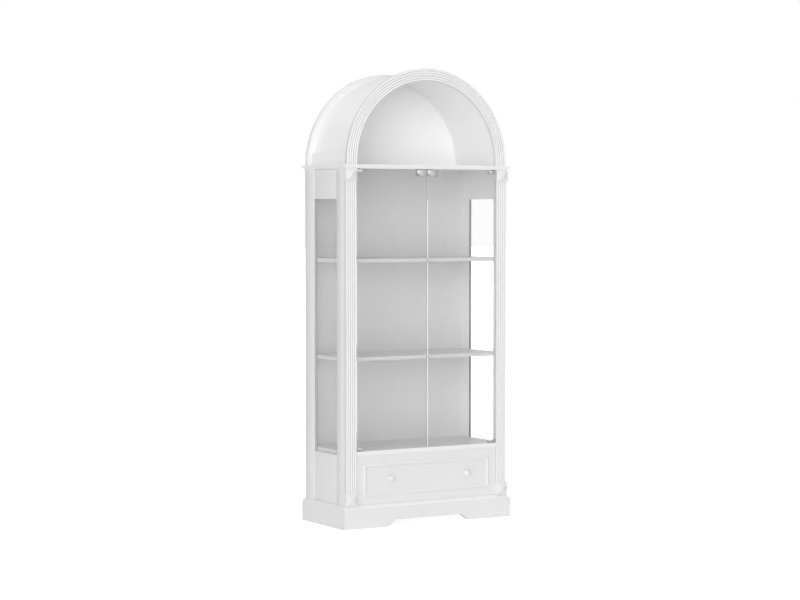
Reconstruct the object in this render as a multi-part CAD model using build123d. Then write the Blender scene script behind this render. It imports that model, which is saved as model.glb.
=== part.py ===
from build123d import *
import os
from math import asin, cos, sin

# Display cabinet with an arched open niche, two glass doors and one drawer.
# Millimetres, +Z up, front towards -Y. The origin is on the floor, in the middle of the
# cabinet's outer box, which reaches forward to the knobs.

# Overall size of the plinth, which is the widest and deepest board work
WIDTH = 900.0
DEPTH = 394.0

# Plinth
PLINTH_BOARD = 18.0
PLINTH_FACE = 91.0
PLINTH_CHAMFER = 15.0
PLINTH_OVERLAP = 46.0
APRON_FOOT = 231.0
APRON_RISE = 31.0
APRON_SLOPE = 46.0
APRON_ROUND = 5.0
CORNER_BLOCK = 30.0
CORNER_BLOCK_HEIGHT = 55.0

# Carcass boards
CASE_BOARD = 18.0
BACK_BOARD = 12.0
BACK_INSET = 8.0
STILE_THICK = 14.0
FRONT_STILE_WIDTH = 71.0
REAR_STILE_WIDTH = 86.0
PANEL_THICK = 12.0
PANEL_RECESS = 1.0
PANEL_EASE = 4.0
FACE_CROWN = 1.2
FRIEZE_HEIGHT = 136.0
FRIEZE_SHADOW_GAP = 4.0

# Heights of the bays, from the plinth up
DRAWER_BAY = 227.0
LOWER_BAY = 407.5
MIDDLE_BAY = 429.0
UPPER_BAY = 408.5
SHELF_BOARD = 16.0

# Shelves and their pins
SHELF_SETBACK = 11.0
SHELF_END_GAP = 1.0
SHELF_BACK_GAP = 1.0
SHELF_EDGE_ROUND = 1.5
PIN_RADIUS = 2.5
PIN_IN_STILE = 8.0
PIN_IN_BAY = 9.0
PIN_FROM_FRONT = 36.0
PIN_FROM_BACK = 46.0

# Side panes
PANE_THICK = 4.0
PANE_SETBACK = 5.0
PANE_GROOVE = 6.0
GROOVE_SLACK = 0.2
STOP_WIDTH = 6.0

# Reeded pilasters and arch, which share one moulding
MOULDING_WIDTH = 55.0
MOULDING_THICK = 20.0
MOULDING_SETBACK = 9.0
REED_COUNT = 5
REED_DEPTH = 4.0
REED_GAP = 2.2
LOWER_BLOCK_HEIGHT = 60.0
UPPER_BLOCK_HEIGHT = 54.0
BLOCK_PROUD = 3.0
BLOCK_PROUD_INSIDE = 0.4
PYRAMID_RISE = 11.0

# Cornice
CORNICE_SIDE = 22.0
CORNICE_FRONT = 7.5
CORNICE_LIP = 3.0

# Arched niche
ARCH_INSET = 5.0
ARCH_STILT = 14.0
VAULT_SPREAD = 3.0
VAULT_STILT = 8.0
VAULT_WALL = 19.0
REAR_INSET = 2.0
REAR_STILT = 1.0
REAR_SINK = 8.0
REAR_BAND = 17.0
IMPOST_HEIGHT = 56.0
IMPOST_INSET = 20.0

# Drawer
DRAWER_GAP = 0.6
DRAWER_SIDE_GAP = 1.0
DRAWER_FRONT_THICK = 18.0
DRAWER_FRONT_SETBACK = 8.0
DRAWER_SIDE = 12.0
DRAWER_BOX_HEIGHT = 160.0
DRAWER_BACK_SPACE = 19.0
DRAWER_BOX_LIFT = 20.0
DRAWER_BOTTOM = 6.0
DRAWER_BOTTOM_LIFT = 6.0
DRAWER_GROOVE = 5.0
BEAD_WIDTH = 18.0
BEAD_RISE = 5.0
BEAD_FLAT = 5.0
BEAD_SIDE_MARGIN = 36.0
BEAD_LOW_MARGIN = 35.9
BEAD_HIGH_MARGIN = 40.9

# Knobs
KNOB_SPREAD = 412.0
KNOB_LENGTH = 31.0
KNOB_FOOT_RADIUS = 10.5
KNOB_FOOT = 3.0
KNOB_NECK_RADIUS = 6.0
KNOB_NECK_FLARE = 2.0
KNOB_HEAD_RADIUS = 16.0
KNOB_HEAD = 14.0
KNOB_DOME_RADIUS = 13.0
KNOB_DOME_RISE = 4.5
KNOB_UNDERSIDE = 3.5
SCREW_RADIUS = 2.0
SCREW_HEAD_RADIUS = 4.0
SCREW_HEAD = 2.5
SCREW_IN_KNOB = 16.0

# Drawer runners
UPRIGHT_THICK = 16.0
RUNNER_THICK = 12.7
RUNNER_HEIGHT = 45.0
RUNNER_FRONT_SPACE = 1.0
RUNNER_SHEET = 1.4
RUNNER_SLIP = 0.4
RUNNER_STEP = 3.4
RUNNER_LIP = 9.6

# Glass doors
DOOR_GLASS = 6.0
DOOR_SETBACK = 6.0
DOOR_SIDE_GAP = 3.0
DOOR_MEETING_GAP = 2.0
DOOR_FOOT_GAP = 3.5
DOOR_HEAD_GAP = 6.0
GLASS_EDGE = 0.6

# Pivot clips and the plates at the meeting edges
CLIP_LENGTH = 38.0
CLIP_HEIGHT = 13.0
CLIP_END_INSET = 1.0
PIVOT_INSET = 12.0
PIVOT_RADIUS = 3.0
PIVOT_DEPTH = 10.0
PIVOT_FIT = 0.05
PLATE_LENGTH = 54.0
PLATE_HEIGHT = 27.0
LEAF_FRONT = 4.0
LEAF_BACK = 3.5
LEAF_WEB = 1.5
LEAF_BULGE = 2.0

# Deck and magnet catches
DECK_SETBACK = 2.0
DECK_ROUND = 2.0
CATCH_WIDTH = 22.0
CATCH_HEIGHT = 14.0
CATCH_LENGTH = 38.0
CATCH_FROM_MIDDLE = 16.0
CATCH_AIR = 0.3
MAGNET_WIDTH = 14.0
MAGNET_HEIGHT = 5.0
MAGNET_LENGTH = 6.0

# Places worked out from the sizes above
knob_proud = KNOB_LENGTH - MOULDING_SETBACK - DRAWER_FRONT_SETBACK
front = (knob_proud - DEPTH) / 2
back = front + DEPTH
plinth_out = -WIDTH / 2
side_out = plinth_out + PLINTH_BOARD
side_in = side_out + STILE_THICK
moulding_front = front + MOULDING_SETBACK
case_front = moulding_front + MOULDING_THICK
moulding_in = side_out + MOULDING_WIDTH
back_rear = back - BACK_INSET
back_face = back_rear - BACK_BOARD
window_front = case_front + FRONT_STILE_WIDTH
window_back = back - REAR_STILE_WIDTH
plinth_inner = front + PLINTH_BOARD

plinth_top = PLINTH_FACE + PLINTH_CHAMFER
base_low = plinth_top - CASE_BOARD
stile_foot = plinth_top - PLINTH_OVERLAP
deck_low = plinth_top + DRAWER_BAY
deck_top = deck_low + CASE_BOARD
lower_shelf_low = deck_top + LOWER_BAY
upper_shelf_low = lower_shelf_low + SHELF_BOARD + MIDDLE_BAY
top_low = upper_shelf_low + SHELF_BOARD + UPPER_BAY
top_high = top_low + CASE_BOARD
window_top = top_low - FRIEZE_HEIGHT
window_low = deck_low

arch_centre = top_high + ARCH_STILT
arch_outer = -side_out - ARCH_INSET
arch_inner = arch_outer - MOULDING_WIDTH
vault_centre = top_high + VAULT_STILT
vault_inner = -moulding_in + VAULT_SPREAD
vault_outer = vault_inner + VAULT_WALL
rear_centre = top_high + REAR_STILT
rear_outer = -side_out - REAR_INSET

pane_out = side_out + PANE_SETBACK
deck_front = moulding_front + DECK_SETBACK
glass_front = moulding_front + DOOR_SETBACK
glass_back = glass_front + DOOR_GLASS
pivot_y = glass_front + DOOR_GLASS / 2
door_out = moulding_in + DOOR_SIDE_GAP
door_in = -DOOR_MEETING_GAP / 2
door_low = deck_top + DOOR_FOOT_GAP
door_high = top_low - DOOR_HEAD_GAP
pivot_x = door_out + PIVOT_INSET

drawer_face = moulding_front + DRAWER_FRONT_SETBACK
drawer_rear = drawer_face + DRAWER_FRONT_THICK
drawer_low = plinth_top + DRAWER_GAP
drawer_high = deck_low - DRAWER_GAP
drawer_out = moulding_in + DRAWER_SIDE_GAP
upright_in = moulding_in
box_out = upright_in + RUNNER_THICK
box_in = box_out + DRAWER_SIDE
box_back = back_face - DRAWER_BACK_SPACE
box_low = plinth_top + DRAWER_BOX_LIFT
box_high = box_low + DRAWER_BOX_HEIGHT
bottom_low = box_low + DRAWER_BOTTOM_LIFT
bottom_high = bottom_low + DRAWER_BOTTOM
knob_x = KNOB_SPREAD / 2
knob_z = (drawer_low + drawer_high) / 2


def block(x0, x1, y0, y1, z0, z1):
    """A plain box between two opposite corners."""
    middle = Pos((x0 + x1) / 2, (y0 + y1) / 2, (z0 + z1) / 2)
    return middle * Box(x1 - x0, y1 - y0, z1 - z0)


def polygon(points):
    """A flat face through the points, in the plane that they lie in."""
    return Face(Wire.make_polygon([Vector(*point) for point in points]))


def edged(edges):
    """A flat face inside a closed run of edges."""
    return Face(Wire(edges))


def line(start, end):
    return Edge.make_line(Vector(*start), Vector(*end))


def arc(start, middle, end):
    return Edge.make_three_point_arc(Vector(*start), Vector(*middle), Vector(*end))


def raised(face, height):
    """A solid standing on a level face."""
    return extrude(face, height, dir=(0, 0, 1))


def lengthened(face, length):
    """A solid running back, along +Y, from an upright face."""
    return extrude(face, length, dir=(0, 1, 0))


def widened(face, length):
    """A solid running across, along +X, from a face that looks sideways."""
    return extrude(face, length, dir=(1, 0, 0))


def rod(x, y, z0, z1, radius):
    """An upright round rod."""
    return Pos(x, y, (z0 + z1) / 2) * Cylinder(radius, z1 - z0)


def right_hand(part):
    """The same piece for the right side of the cabinet."""
    return mirror(part, about=Plane.YZ)


# Plinth

def plinth_front():
    """Front board, mitred at both ends, with a chamfered top and the apron cut-out."""
    plan = polygon([
        (plinth_out, front, 0),
        (-plinth_out, front, 0),
        (-side_out, plinth_inner, 0),
        (side_out, plinth_inner, 0),
    ])
    board = raised(plan, plinth_top)
    top_front = board.edges().filter_by(Axis.X).group_by(Axis.Z)[-1].sort_by(Axis.Y)[0]
    board = chamfer(top_front, PLINTH_CHAMFER)
    return board - apron()


def apron():
    """The space cut out below the front board: a flat top between two slopes."""
    foot_in = plinth_out + APRON_FOOT
    flat_in = foot_in + APRON_SLOPE
    below = -1.0
    outline = polygon([
        (foot_in, front - 1, below),
        (foot_in, front - 1, 0),
        (flat_in, front - 1, APRON_RISE),
        (-flat_in, front - 1, APRON_RISE),
        (-foot_in, front - 1, 0),
        (-foot_in, front - 1, below),
    ])
    space = lengthened(outline, PLINTH_BOARD + 2)
    tops = space.edges().filter_by(Axis.Y).group_by(Axis.Z)[-1]
    return fillet(tops, APRON_ROUND)


def plinth_side():
    """Left board, mitred at the front end, running straight to the floor."""
    plan = polygon([
        (plinth_out, front, 0),
        (side_out, plinth_inner, 0),
        (side_out, back, 0),
        (plinth_out, back, 0),
    ])
    board = raised(plan, plinth_top)
    top_out = board.edges().filter_by(Axis.Y).group_by(Axis.Z)[-1].sort_by(Axis.X)[0]
    return chamfer(top_out, PLINTH_CHAMFER)


def plinth_back():
    """Rear board under the base board."""
    return block(side_in, -side_in, back_rear - CASE_BOARD, back_rear, 0, base_low)


def plinth_corner_blocks():
    """Glue blocks inside the four corners of the plinth."""
    triangle = polygon([
        (side_out, plinth_inner, 0),
        (side_out + CORNER_BLOCK, plinth_inner, 0),
        (side_out, plinth_inner + CORNER_BLOCK, 0),
    ])
    front_left = raised(triangle, CORNER_BLOCK_HEIGHT)
    rear_left = block(side_out, side_in, back_rear - CORNER_BLOCK, back_rear, 0, CORNER_BLOCK_HEIGHT)
    return [front_left, rear_left, right_hand(front_left), right_hand(rear_left)]


def base_board():
    """Board under the drawer, level with the top of the plinth."""
    return block(side_in, -side_in, plinth_inner, back_rear, base_low, plinth_top)


# Sides

def crowned(y0, y1, outer, inner, z0, z1):
    """An upright board whose outer face swells slightly across its width."""
    edges = [
        arc((outer + FACE_CROWN, y0, z0), (outer, (y0 + y1) / 2, z0), (outer + FACE_CROWN, y1, z0)),
        line((outer + FACE_CROWN, y1, z0), (inner, y1, z0)),
        line((inner, y1, z0), (inner, y0, z0)),
        line((inner, y0, z0), (outer + FACE_CROWN, y0, z0)),
    ]
    return raised(edged(edges), z1 - z0)


def pane_space(slack):
    """The room that a side pane takes, with its edges in their grooves."""
    reach = PANE_GROOVE + slack
    return block(
        pane_out - slack,
        pane_out + PANE_THICK + slack,
        window_front - reach,
        window_back + reach,
        window_low - reach,
        window_top + reach,
    )


def pin_holes():
    """Holes in the left stiles for the shelf pins."""
    return [pin for pin in shelf_pins() if pin.center().X < 0]


def front_stile():
    stile = crowned(case_front, window_front, side_out, side_in, stile_foot, top_low)
    stile -= pane_space(GROOVE_SLACK)
    for pin in pin_holes():
        stile -= pin
    return stile


def rear_stile():
    stile = crowned(window_back, back, side_out, side_in, stile_foot, top_low)
    stile -= pane_space(GROOVE_SLACK)
    for pin in pin_holes():
        stile -= pin
    return stile


def side_panel(z0, z1):
    """A panel between the stiles, a little behind their faces."""
    outer = side_out + PANEL_RECESS
    return crowned(window_front, window_back, outer, outer + PANEL_THICK, z0, z1)


def frieze_panel():
    """Panel above the side pane, stopping just short of the top board."""
    return side_panel(window_top, top_low - FRIEZE_SHADOW_GAP) - pane_space(GROOVE_SLACK)


def lower_panel():
    """Panel below the side pane, with its upper outer edge eased."""
    panel = side_panel(stile_foot, window_low)
    rim = panel.edges().group_by(Axis.Z)[-1].sort_by(Axis.X)[0]
    return chamfer(rim, PANEL_EASE) - pane_space(GROOVE_SLACK)


def side_glass():
    return pane_space(0)


def glazing_stop():
    """Dark strip that presses the pane's rear edge outwards, from sill to frieze."""
    inner = pane_out + PANE_THICK
    return block(inner, side_in, window_back - STOP_WIDTH, window_back, window_low, window_top)


# Boards of the carcass

def deck_board():
    """Floor of the glazed part, reaching forward between the pilasters."""
    board = block(side_in, -side_in, case_front, back_face, deck_low, deck_top)
    nose = block(moulding_in, -moulding_in, deck_front, case_front, deck_low, deck_top)
    rim = nose.edges().filter_by(Axis.X).group_by(Axis.Y)[0].sort_by(Axis.Z)[-1]
    board += fillet(rim, DECK_ROUND)
    return board - pivot_holes()


def top_board():
    """Board over the glazed part, which carries the cornice and the arch."""
    return block(side_out, -side_out, moulding_front, back, top_low, top_high) - pivot_holes()


def pivot_holes():
    """Holes for the pivot pins of both doors, in the deck and in the top board."""
    radius = PIVOT_RADIUS + PIVOT_FIT
    low = rod(pivot_x, pivot_y, deck_top - PIVOT_DEPTH - PIVOT_FIT, deck_top + 1, radius)
    high = rod(pivot_x, pivot_y, top_low - 1, top_low + PIVOT_DEPTH + PIVOT_FIT, radius)
    left = low + high
    return left + right_hand(left)


def back_panel():
    return block(side_in, -side_in, back_face, back_rear, plinth_top, top_low)


def shelf(z0):
    """A shelf with its front edges softened, resting on four pins."""
    end = side_in + SHELF_END_GAP
    board = block(end, -end, case_front + SHELF_SETBACK, back_face - SHELF_BACK_GAP, z0, z0 + SHELF_BOARD)
    rims = board.edges().filter_by(Axis.X).group_by(Axis.Y)[0]
    return fillet(rims, SHELF_EDGE_ROUND)


def shelf_pins():
    """Four round pins under each shelf."""
    pins = []
    for shelf_low in (lower_shelf_low, upper_shelf_low):
        for y in (case_front + PIN_FROM_FRONT, back - PIN_FROM_BACK):
            length = PIN_IN_STILE + PIN_IN_BAY
            middle = Pos(side_in + (PIN_IN_BAY - PIN_IN_STILE) / 2, y, shelf_low - PIN_RADIUS)
            pin = middle * Rot(0, 90, 0) * Cylinder(PIN_RADIUS, length)
            pins += [pin, right_hand(pin)]
    return pins


# Pilasters and their pyramid blocks

def reeded(u0, u1, v_front, v_back, z):
    """Level section of the moulding: round reeds along the front, a narrow flat beside each."""
    pitch = (u1 - u0) / REED_COUNT
    valley = v_front + REED_DEPTH
    edges = []
    for reed in range(REED_COUNT):
        start = u0 + reed * pitch
        end = start + pitch
        foot_in = start + REED_GAP / 2
        foot_out = end - REED_GAP / 2
        edges.append(line((start, valley, z), (foot_in, valley, z)))
        edges.append(arc((foot_in, valley, z), (start + pitch / 2, v_front, z), (foot_out, valley, z)))
        edges.append(line((foot_out, valley, z), (end, valley, z)))
    edges += [
        line((u1, valley, z), (u1, v_back, z)),
        line((u1, v_back, z), (u0, v_back, z)),
        line((u0, v_back, z), (u0, valley, z)),
    ]
    return edged(edges)


def pilaster():
    """Left reeded shaft between its two blocks."""
    foot = plinth_top + LOWER_BLOCK_HEIGHT
    head = top_low - UPPER_BLOCK_HEIGHT
    return raised(reeded(side_out, moulding_in, moulding_front, case_front, foot), head - foot)


def pyramid_block(z0, height):
    """A block with a low pyramid on its face, prouder than the reeds, least so towards the doors."""
    face = moulding_front - BLOCK_PROUD
    outer = side_out - BLOCK_PROUD
    inner = moulding_in + BLOCK_PROUD_INSIDE
    body = block(outer, inner, face, case_front, z0, z0 + height)
    base = polygon([
        (outer, face, z0),
        (inner, face, z0),
        (inner, face, z0 + height),
        (outer, face, z0 + height),
    ])
    tip = Vertex((outer + inner) / 2, face - PYRAMID_RISE, z0 + height / 2)
    return body + loft([base, tip])


def lower_block():
    return pyramid_block(plinth_top, LOWER_BLOCK_HEIGHT)


def upper_block():
    return pyramid_block(top_low - UPPER_BLOCK_HEIGHT, UPPER_BLOCK_HEIGHT)


# Cornice

def level_rectangle(side, overhang, z):
    """Outline of the cornice at one height, from the side and front overhangs."""
    return polygon([
        (side_out - side, moulding_front - overhang, z),
        (-side_out + side, moulding_front - overhang, z),
        (-side_out + side, back, z),
        (side_out - side, back, z),
    ])


def cornice_ring():
    """The whole cornice before it is mitred: an undercut slope below a thin lip."""
    lip_low = top_high - CORNICE_LIP
    wide = level_rectangle(CORNICE_SIDE, CORNICE_FRONT, lip_low)
    slope = loft([level_rectangle(0, 0, top_low), wide])
    lip = raised(wide, CORNICE_LIP)
    core = block(side_out, -side_out, moulding_front, back, top_low, top_high)
    return slope + lip - core


def cornice_front_space():
    """The wedge of space that the front length takes, down to the mitres."""
    plan = polygon([
        (side_out - CORNICE_SIDE, moulding_front - CORNICE_FRONT, top_low),
        (-side_out + CORNICE_SIDE, moulding_front - CORNICE_FRONT, top_low),
        (-side_out, moulding_front, top_low),
        (side_out, moulding_front, top_low),
    ])
    return raised(plan, CASE_BOARD)


def cornice_front():
    return cornice_ring() & cornice_front_space()


def cornice_side():
    """Left length of the cornice."""
    left_half = block(side_out - 2 * CORNICE_SIDE, 0, 2 * front, back, top_low, top_high)
    return (cornice_ring() & left_half) - cornice_front_space()


# Arched niche

def arched(section, centre):
    """Turns a level section on the right over an arch, with a short straight foot each side."""
    axis = Axis((0, 0, centre), (0, -1, 0))
    bow = revolve(section, axis, 180)
    foot = extrude(section, centre - top_high, dir=(0, 0, -1))
    return bow + foot + right_hand(foot)


def ring_section(r0, r1, y0, y1, z):
    """Plain rectangular section of a ring."""
    return polygon([
        (r0, y0, z),
        (r1, y0, z),
        (r1, y1, z),
        (r0, y1, z),
    ])


def front_arch():
    """Reeded arch over the front, in line with the pilasters."""
    section = reeded(arch_inner, arch_outer, moulding_front, case_front, arch_centre)
    return arched(section, arch_centre)


def vault_shell():
    """Barrel vault between the front arch and the rear arch."""
    section = ring_section(vault_inner, vault_outer, case_front, back, vault_centre)
    return arched(section, vault_centre)


def vault_room():
    """Everything within the outside of the vault, from before the front to behind the back."""
    section = ring_section(0, vault_outer, 2 * front, 2 * back, vault_centre)
    return arched(section, vault_centre)


def rear_arch():
    """Rear arch, a little lower than the vault: a plain band and a cove that runs out on the vault."""
    inner = vault_outer - REAR_SINK
    reach = rear_outer - inner
    band_front = back - REAR_BAND
    cove_front = band_front - reach
    sag = reach * (1 - 0.5 ** 0.5)
    z = rear_centre
    edges = [
        arc(
            (inner, cove_front, z),
            (inner + sag, band_front - sag, z),
            (rear_outer, band_front, z),
        ),
        line((rear_outer, band_front, z), (rear_outer, back, z)),
        line((rear_outer, back, z), (inner, back, z)),
        line((inner, back, z), (inner, cove_front, z)),
    ]
    return arched(edged(edges), rear_centre) - vault_room()


def vault_back():
    """Flat back of the niche, inside the vault."""
    low_left = (-vault_inner, back_face, top_high)
    low_right = (vault_inner, back_face, top_high)
    spring_left = (-vault_inner, back_face, vault_centre)
    spring_right = (vault_inner, back_face, vault_centre)
    crown = (0, back_face, vault_centre + vault_inner)
    edges = [
        line(low_left, low_right),
        line(low_right, spring_right),
        arc(spring_right, crown, spring_left),
        line(spring_left, low_left),
    ]
    return lengthened(edged(edges), BACK_BOARD)


def impost():
    """Left block along the foot of the vault, shaped to the vault and the rear cove."""
    outer = side_out + IMPOST_INSET
    middle = -vault_outer / 2
    length = block(outer, middle, case_front, back - REAR_BAND, top_high, top_high + IMPOST_HEIGHT)
    return length - vault_room() - rear_arch()


# Drawer and its runners

def drawer_upright():
    """Upright that carries the left runner."""
    return block(upright_in - UPRIGHT_THICK, upright_in, case_front, back_face, plinth_top, deck_low)


def drawer_front():
    board = block(drawer_out, -drawer_out, drawer_face, drawer_rear, drawer_low, drawer_high)
    groove = bottom_space(GROOVE_SLACK)
    for screw in knob_screws():
        board -= screw
    return board - groove


def bead_strip(length):
    """A length of the raised moulding along X, on Z = 0 at its outer edge, with mitred ends."""
    slope = (BEAD_WIDTH - BEAD_FLAT) / 2
    section = polygon([
        (0, drawer_face, 0),
        (0, drawer_face - BEAD_RISE, slope),
        (0, drawer_face - BEAD_RISE, slope + BEAD_FLAT),
        (0, drawer_face, BEAD_WIDTH),
    ])
    strip = Pos(-length / 2, 0, 0) * widened(section, length)
    mitre = polygon([
        (-length / 2, drawer_face - BEAD_RISE, 0),
        (length / 2, drawer_face - BEAD_RISE, 0),
        (length / 2 - BEAD_WIDTH, drawer_face - BEAD_RISE, BEAD_WIDTH),
        (-length / 2 + BEAD_WIDTH, drawer_face - BEAD_RISE, BEAD_WIDTH),
    ])
    return strip & lengthened(mitre, BEAD_RISE)


def drawer_moulding():
    """Four mitred lengths planted on the drawer front."""
    low = drawer_low + BEAD_LOW_MARGIN
    high = drawer_high - BEAD_HIGH_MARGIN
    width = -2 * (drawer_out + BEAD_SIDE_MARGIN)
    middle = Pos(0, 0, (low + high) / 2)
    across = Pos(0, 0, (low - high) / 2) * bead_strip(width)
    upright = Rot(0, 90, 0) * (Pos(0, 0, -width / 2) * bead_strip(high - low))
    return [
        middle * across,
        middle * Rot(0, 180, 0) * across,
        middle * upright,
        middle * Rot(0, 180, 0) * upright,
    ]


def bottom_space(slack):
    """The room that the drawer's bottom takes, with its edges in their grooves."""
    reach = DRAWER_GROOVE + slack
    return block(
        box_in - reach,
        -box_in + reach,
        drawer_rear - reach,
        box_back,
        bottom_low - slack,
        bottom_high + slack,
    )


def drawer_side():
    return block(box_out, box_in, drawer_rear, box_back, box_low, box_high) - bottom_space(GROOVE_SLACK)


def drawer_back():
    """Rear board of the drawer, standing on the bottom."""
    return block(box_in, -box_in, box_back - DRAWER_SIDE, box_back, bottom_high, box_high)


def drawer_bottom():
    return bottom_space(0)


def knob():
    """Left turned knob: a foot, a waisted neck and a domed head."""
    head_back = KNOB_LENGTH - KNOB_HEAD
    neck_top = KNOB_NECK_RADIUS + KNOB_NECK_FLARE
    dome_foot = KNOB_LENGTH - KNOB_DOME_RISE
    widest = (head_back + KNOB_UNDERSIDE + dome_foot) / 2
    edges = [
        line((0, 0, 0), (KNOB_FOOT_RADIUS, 0, 0)),
        line((KNOB_FOOT_RADIUS, 0, 0), (KNOB_FOOT_RADIUS, 0, KNOB_FOOT)),
        arc(
            (KNOB_FOOT_RADIUS, 0, KNOB_FOOT),
            (KNOB_NECK_RADIUS, 0, (KNOB_FOOT + head_back) / 2),
            (neck_top, 0, head_back),
        ),
        line((neck_top, 0, head_back), (KNOB_DOME_RADIUS, 0, head_back + KNOB_UNDERSIDE)),
        arc(
            (KNOB_DOME_RADIUS, 0, head_back + KNOB_UNDERSIDE),
            (KNOB_HEAD_RADIUS, 0, widest),
            (KNOB_DOME_RADIUS, 0, dome_foot),
        ),
        arc((KNOB_DOME_RADIUS, 0, dome_foot), dome_middle(), (0, 0, KNOB_LENGTH)),
        line((0, 0, KNOB_LENGTH), (0, 0, 0)),
    ]
    turned = revolve(edged(edges), Axis.Z, 360)
    placed = Pos(-knob_x, drawer_face, knob_z) * Rot(90, 0, 0) * turned
    return placed - knob_screws()[0]


def dome_middle():
    """Point halfway along the arc of the knob's dome, whose centre is on the axis."""
    radius = (KNOB_DOME_RADIUS ** 2 + KNOB_DOME_RISE ** 2) / (2 * KNOB_DOME_RISE)
    turn = asin(KNOB_DOME_RADIUS / radius) / 2
    return (radius * sin(turn), 0, KNOB_LENGTH - radius + radius * cos(turn))


def knob_screws():
    """Machine screws through the drawer front into the knobs, left then right."""
    shank_start = drawer_face - SCREW_IN_KNOB
    length = drawer_rear - shank_start
    upright = rod(0, 0, 0, length, SCREW_RADIUS) + rod(0, 0, length, length + SCREW_HEAD, SCREW_HEAD_RADIUS)
    lying = Rot(-90, 0, 0) * upright
    return [Pos(x, shank_start, knob_z) * lying for x in (-knob_x, knob_x)]


def channel(web_from, web_to, lip_to, height):
    """A left runner member: a web and two lips, one sheet thick, at the drawer's side."""
    u0 = upright_in
    z_mid = (box_low + box_high) / 2
    y0 = drawer_rear + RUNNER_FRONT_SPACE
    y1 = box_back
    half = height / 2
    web = block(u0 + web_from, u0 + web_to, y0, y1, z_mid - half, z_mid + half)
    low = min(web_from, lip_to)
    high = max(web_to, lip_to)
    upper = block(u0 + low, u0 + high, y0, y1, z_mid + half - RUNNER_SHEET, z_mid + half)
    lower = block(u0 + low, u0 + high, y0, y1, z_mid - half, z_mid - half + RUNNER_SHEET)
    return web + upper + lower


def runner_rail():
    """Member screwed to the upright."""
    return channel(0, RUNNER_SHEET, RUNNER_LIP, RUNNER_HEIGHT)


def runner_middle():
    """Member between the other two, which travels half as far as the drawer."""
    inside = RUNNER_HEIGHT - 2 * (RUNNER_SHEET + RUNNER_SLIP)
    return channel(RUNNER_STEP, RUNNER_STEP + RUNNER_SHEET, RUNNER_STEP + RUNNER_LIP - 2, inside)


def runner_drawer():
    """Member screwed to the drawer's side."""
    inside = RUNNER_HEIGHT - 4 * (RUNNER_SHEET + RUNNER_SLIP)
    web_from = RUNNER_THICK - RUNNER_SHEET
    return channel(web_from, RUNNER_THICK, RUNNER_STEP + RUNNER_SHEET + RUNNER_SLIP, inside)


# Glass doors

def door_glass():
    """Left frameless pane with its edges ground."""
    pane = block(door_out, door_in, glass_front, glass_back, door_low, door_high)
    return chamfer(pane.edges(), GLASS_EDGE)


def clip_body(x0, length, z0, height):
    """A metal clip with a bulging front leaf, before the glass is taken out of it."""
    x1 = x0 + length
    leaf_front = glass_front - LEAF_FRONT
    leaf_back = glass_back + LEAF_BACK
    edges = [
        arc(
            (x0, leaf_front + LEAF_BULGE, z0),
            (x0 + length / 2, leaf_front, z0),
            (x1, leaf_front + LEAF_BULGE, z0),
        ),
        line((x1, leaf_front + LEAF_BULGE, z0), (x1, leaf_back, z0)),
        line((x1, leaf_back, z0), (x0, leaf_back, z0)),
        line((x0, leaf_back, z0), (x0, leaf_front + LEAF_BULGE, z0)),
    ]
    return raised(edged(edges), height)


def glass_room():
    """The left pane with square edges, as the clips are cut to it."""
    return block(door_out, door_in, glass_front, glass_back, door_low, door_high)


def door_clips():
    """Lower and upper pivot clips of the left door."""
    x0 = door_out + CLIP_END_INSET
    low = clip_body(x0, CLIP_LENGTH, door_low - LEAF_WEB, CLIP_HEIGHT)
    high = clip_body(x0, CLIP_LENGTH, door_high + LEAF_WEB - CLIP_HEIGHT, CLIP_HEIGHT)
    clips = []
    for clip in (low, high):
        clip = clip - glass_room()
        for pin in door_pins():
            clip -= pin
        clips.append(clip)
    return clips


def door_pins():
    """Lower and upper pivot pins of the left door."""
    low = rod(pivot_x, pivot_y, deck_top - PIVOT_DEPTH, door_low, PIVOT_RADIUS)
    high = rod(pivot_x, pivot_y, door_high, top_low + PIVOT_DEPTH, PIVOT_RADIUS)
    return [low, high]


def door_plate():
    """Plate over the upper free corner of the left door, which the magnet holds."""
    x0 = door_in - PLATE_LENGTH
    body = clip_body(x0, PLATE_LENGTH, door_high + LEAF_WEB - PLATE_HEIGHT, PLATE_HEIGHT)
    return body - glass_room()


def magnet_catches():
    """Two catches under the top board, behind the plates of the doors."""
    catch_front = glass_back + LEAF_BACK + CATCH_AIR
    left = -CATCH_FROM_MIDDLE - CATCH_WIDTH
    case = block(
        left,
        left + CATCH_WIDTH,
        catch_front,
        catch_front + CATCH_LENGTH,
        top_low - CATCH_HEIGHT,
        top_low,
    )
    case = fillet(case.edges().filter_by(Axis.Z), 2) - magnet()
    return [case, right_hand(case)]


def magnet():
    """Left magnet, level with the front of its catch."""
    catch_front = glass_back + LEAF_BACK + CATCH_AIR
    middle = -CATCH_FROM_MIDDLE - CATCH_WIDTH / 2
    z_mid = top_low - CATCH_HEIGHT / 2
    half_width = MAGNET_WIDTH / 2
    half_height = MAGNET_HEIGHT / 2
    return block(
        middle - half_width,
        middle + half_width,
        catch_front,
        catch_front + MAGNET_LENGTH,
        z_mid - half_height,
        z_mid + half_height,
    )


def pair(name, left):
    """Writes a left piece and its right-hand copy as two nodes."""
    write(name + "_left", [left])
    write(name + "_right", [right_hand(left)])


def write(name, pieces):
    """Writes one node as a group of its separate solids."""
    solids = []
    for piece in pieces:
        solids += piece.solids()
    shape = solids[0] if len(solids) == 1 else Compound(children=solids)
    shape.label = name
    export_step(shape, "parts/" + name + ".step")


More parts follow.
